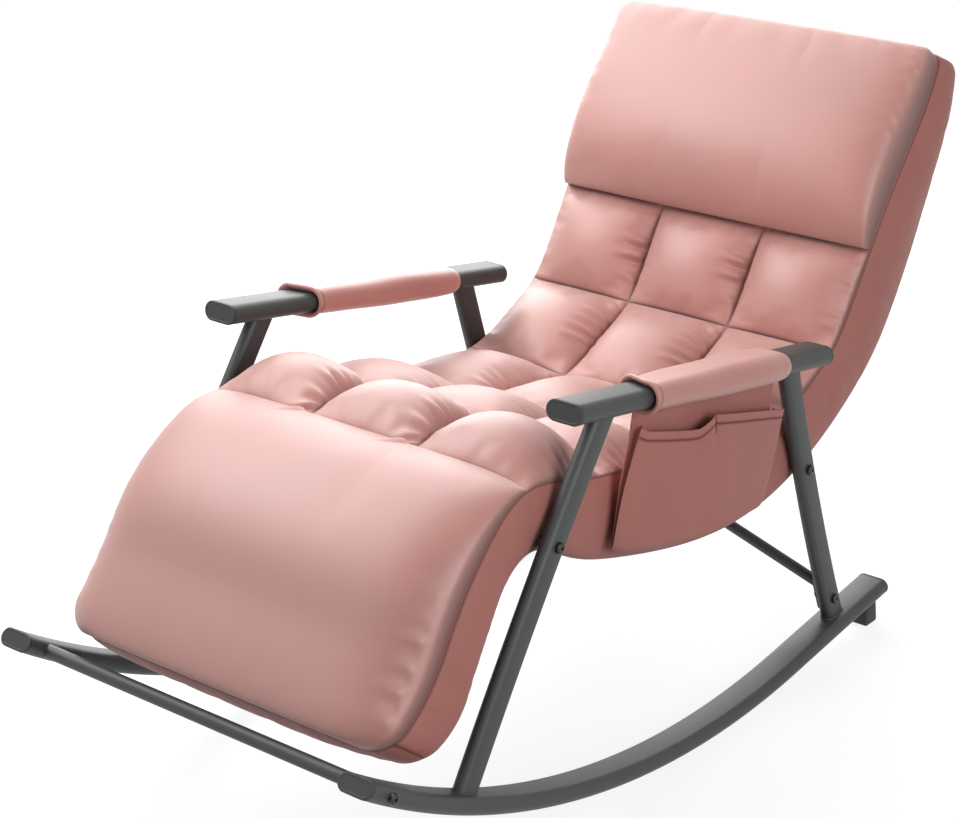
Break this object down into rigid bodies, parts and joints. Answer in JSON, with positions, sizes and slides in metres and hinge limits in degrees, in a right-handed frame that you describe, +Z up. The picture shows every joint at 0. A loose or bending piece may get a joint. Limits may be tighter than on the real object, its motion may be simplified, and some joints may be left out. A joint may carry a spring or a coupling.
{
  "type": "lounge rocking chair",
  "caption": "Lounge rocking chair with an S-shaped tufted seat, padded arms and a side pocket on a steel tube frame with curved runners.",
  "frame": {"origin": "on the floor, under the middle of the whole chair's bounding box", "axes": "+Z up; -Y the way the sitter faces, towards the leg rest; +Y towards the back; +X the sitter's left, the side with the pocket"},
  "size_m": [0.6466, 1.3944, 0.8821],
  "materials": {
    "upholstery": "smooth leather-look cloth, soft satin",
    "cover_cloth": "smooth leather-look cloth over board, soft satin",
    "painted_steel": "satin dark grey powder coat",
    "cap_plastic": "fine matte",
    "bolt_steel": "blackened",
    "stop_rubber": "matte",
    "bare_steel": "drawn tube, plain",
    "webbing": "woven strap",
    "foam": "open foam"
  },
  "bodies": {
    "root": {"runner_left": "painted_steel", "runner_right": "painted_steel", "runner_cap_front_left": "cap_plastic", "runner_cap_rear_left": "cap_plastic", "runner_cap_front_right": "cap_plastic", "runner_cap_rear_right": "cap_plastic", "rear_stop_left": "stop_rubber", "rear_stop_right": "stop_rubber", "front_leg_left": "painted_steel", "front_leg_right": "painted_steel", "rear_leg_left": "painted_steel", "rear_leg_right": "painted_steel", "seat_bolt_front_left": "bolt_steel", "seat_bolt_front_right": "bolt_steel", "seat_bolt_rear_left": "bolt_steel", "seat_bolt_rear_right": "bolt_steel", "seat_bush_front_left": "bare_steel", "seat_bush_front_right": "bare_steel", "seat_bush_rear_left": "bare_steel", "seat_bush_rear_right": "bare_steel", "arm_left": "painted_steel", "arm_right": "painted_steel", "arm_cap_front_left": "cap_plastic", "arm_cap_rear_left": "cap_plastic", "arm_cap_front_right": "cap_plastic", "arm_cap_rear_right": "cap_plastic", "arm_sleeve_left": "upholstery", "arm_sleeve_right": "upholstery", "pocket_back_panel": "upholstery", "pocket_bag": "upholstery", "front_cross_tube": "painted_steel", "cross_tube_insert_left": "bare_steel", "cross_tube_insert_right": "bare_steel", "cross_tube_screw_left": "bolt_steel", "cross_tube_screw_right": "bolt_steel", "rear_brace": "painted_steel", "brace_bolt_left": "bolt_steel", "brace_bolt_right": "bolt_steel", "brace_nut_left": "bolt_steel", "brace_nut_right": "bolt_steel", "seat_under_cover": "cover_cloth", "seat_side_tube_left": "bare_steel", "seat_side_tube_right": "bare_steel", "seat_cross_tube_1": "bare_steel", "seat_cross_tube_2": "bare_steel", "seat_cross_tube_3": "bare_steel", "seat_cross_tube_4": "bare_steel", "seat_cross_tube_5": "bare_steel", "webbing_strap_1": "webbing", "webbing_strap_2": "webbing", "webbing_strap_3": "webbing", "webbing_strap_4": "webbing", "webbing_strap_5": "webbing", "webbing_strap_6": "webbing", "foam_slab": "foam", "leg_rest_cushion": "upholstery", "seat_cushion": "upholstery", "back_cushion": "upholstery", "head_cushion": "upholstery"}
  },
  "joints": []
}
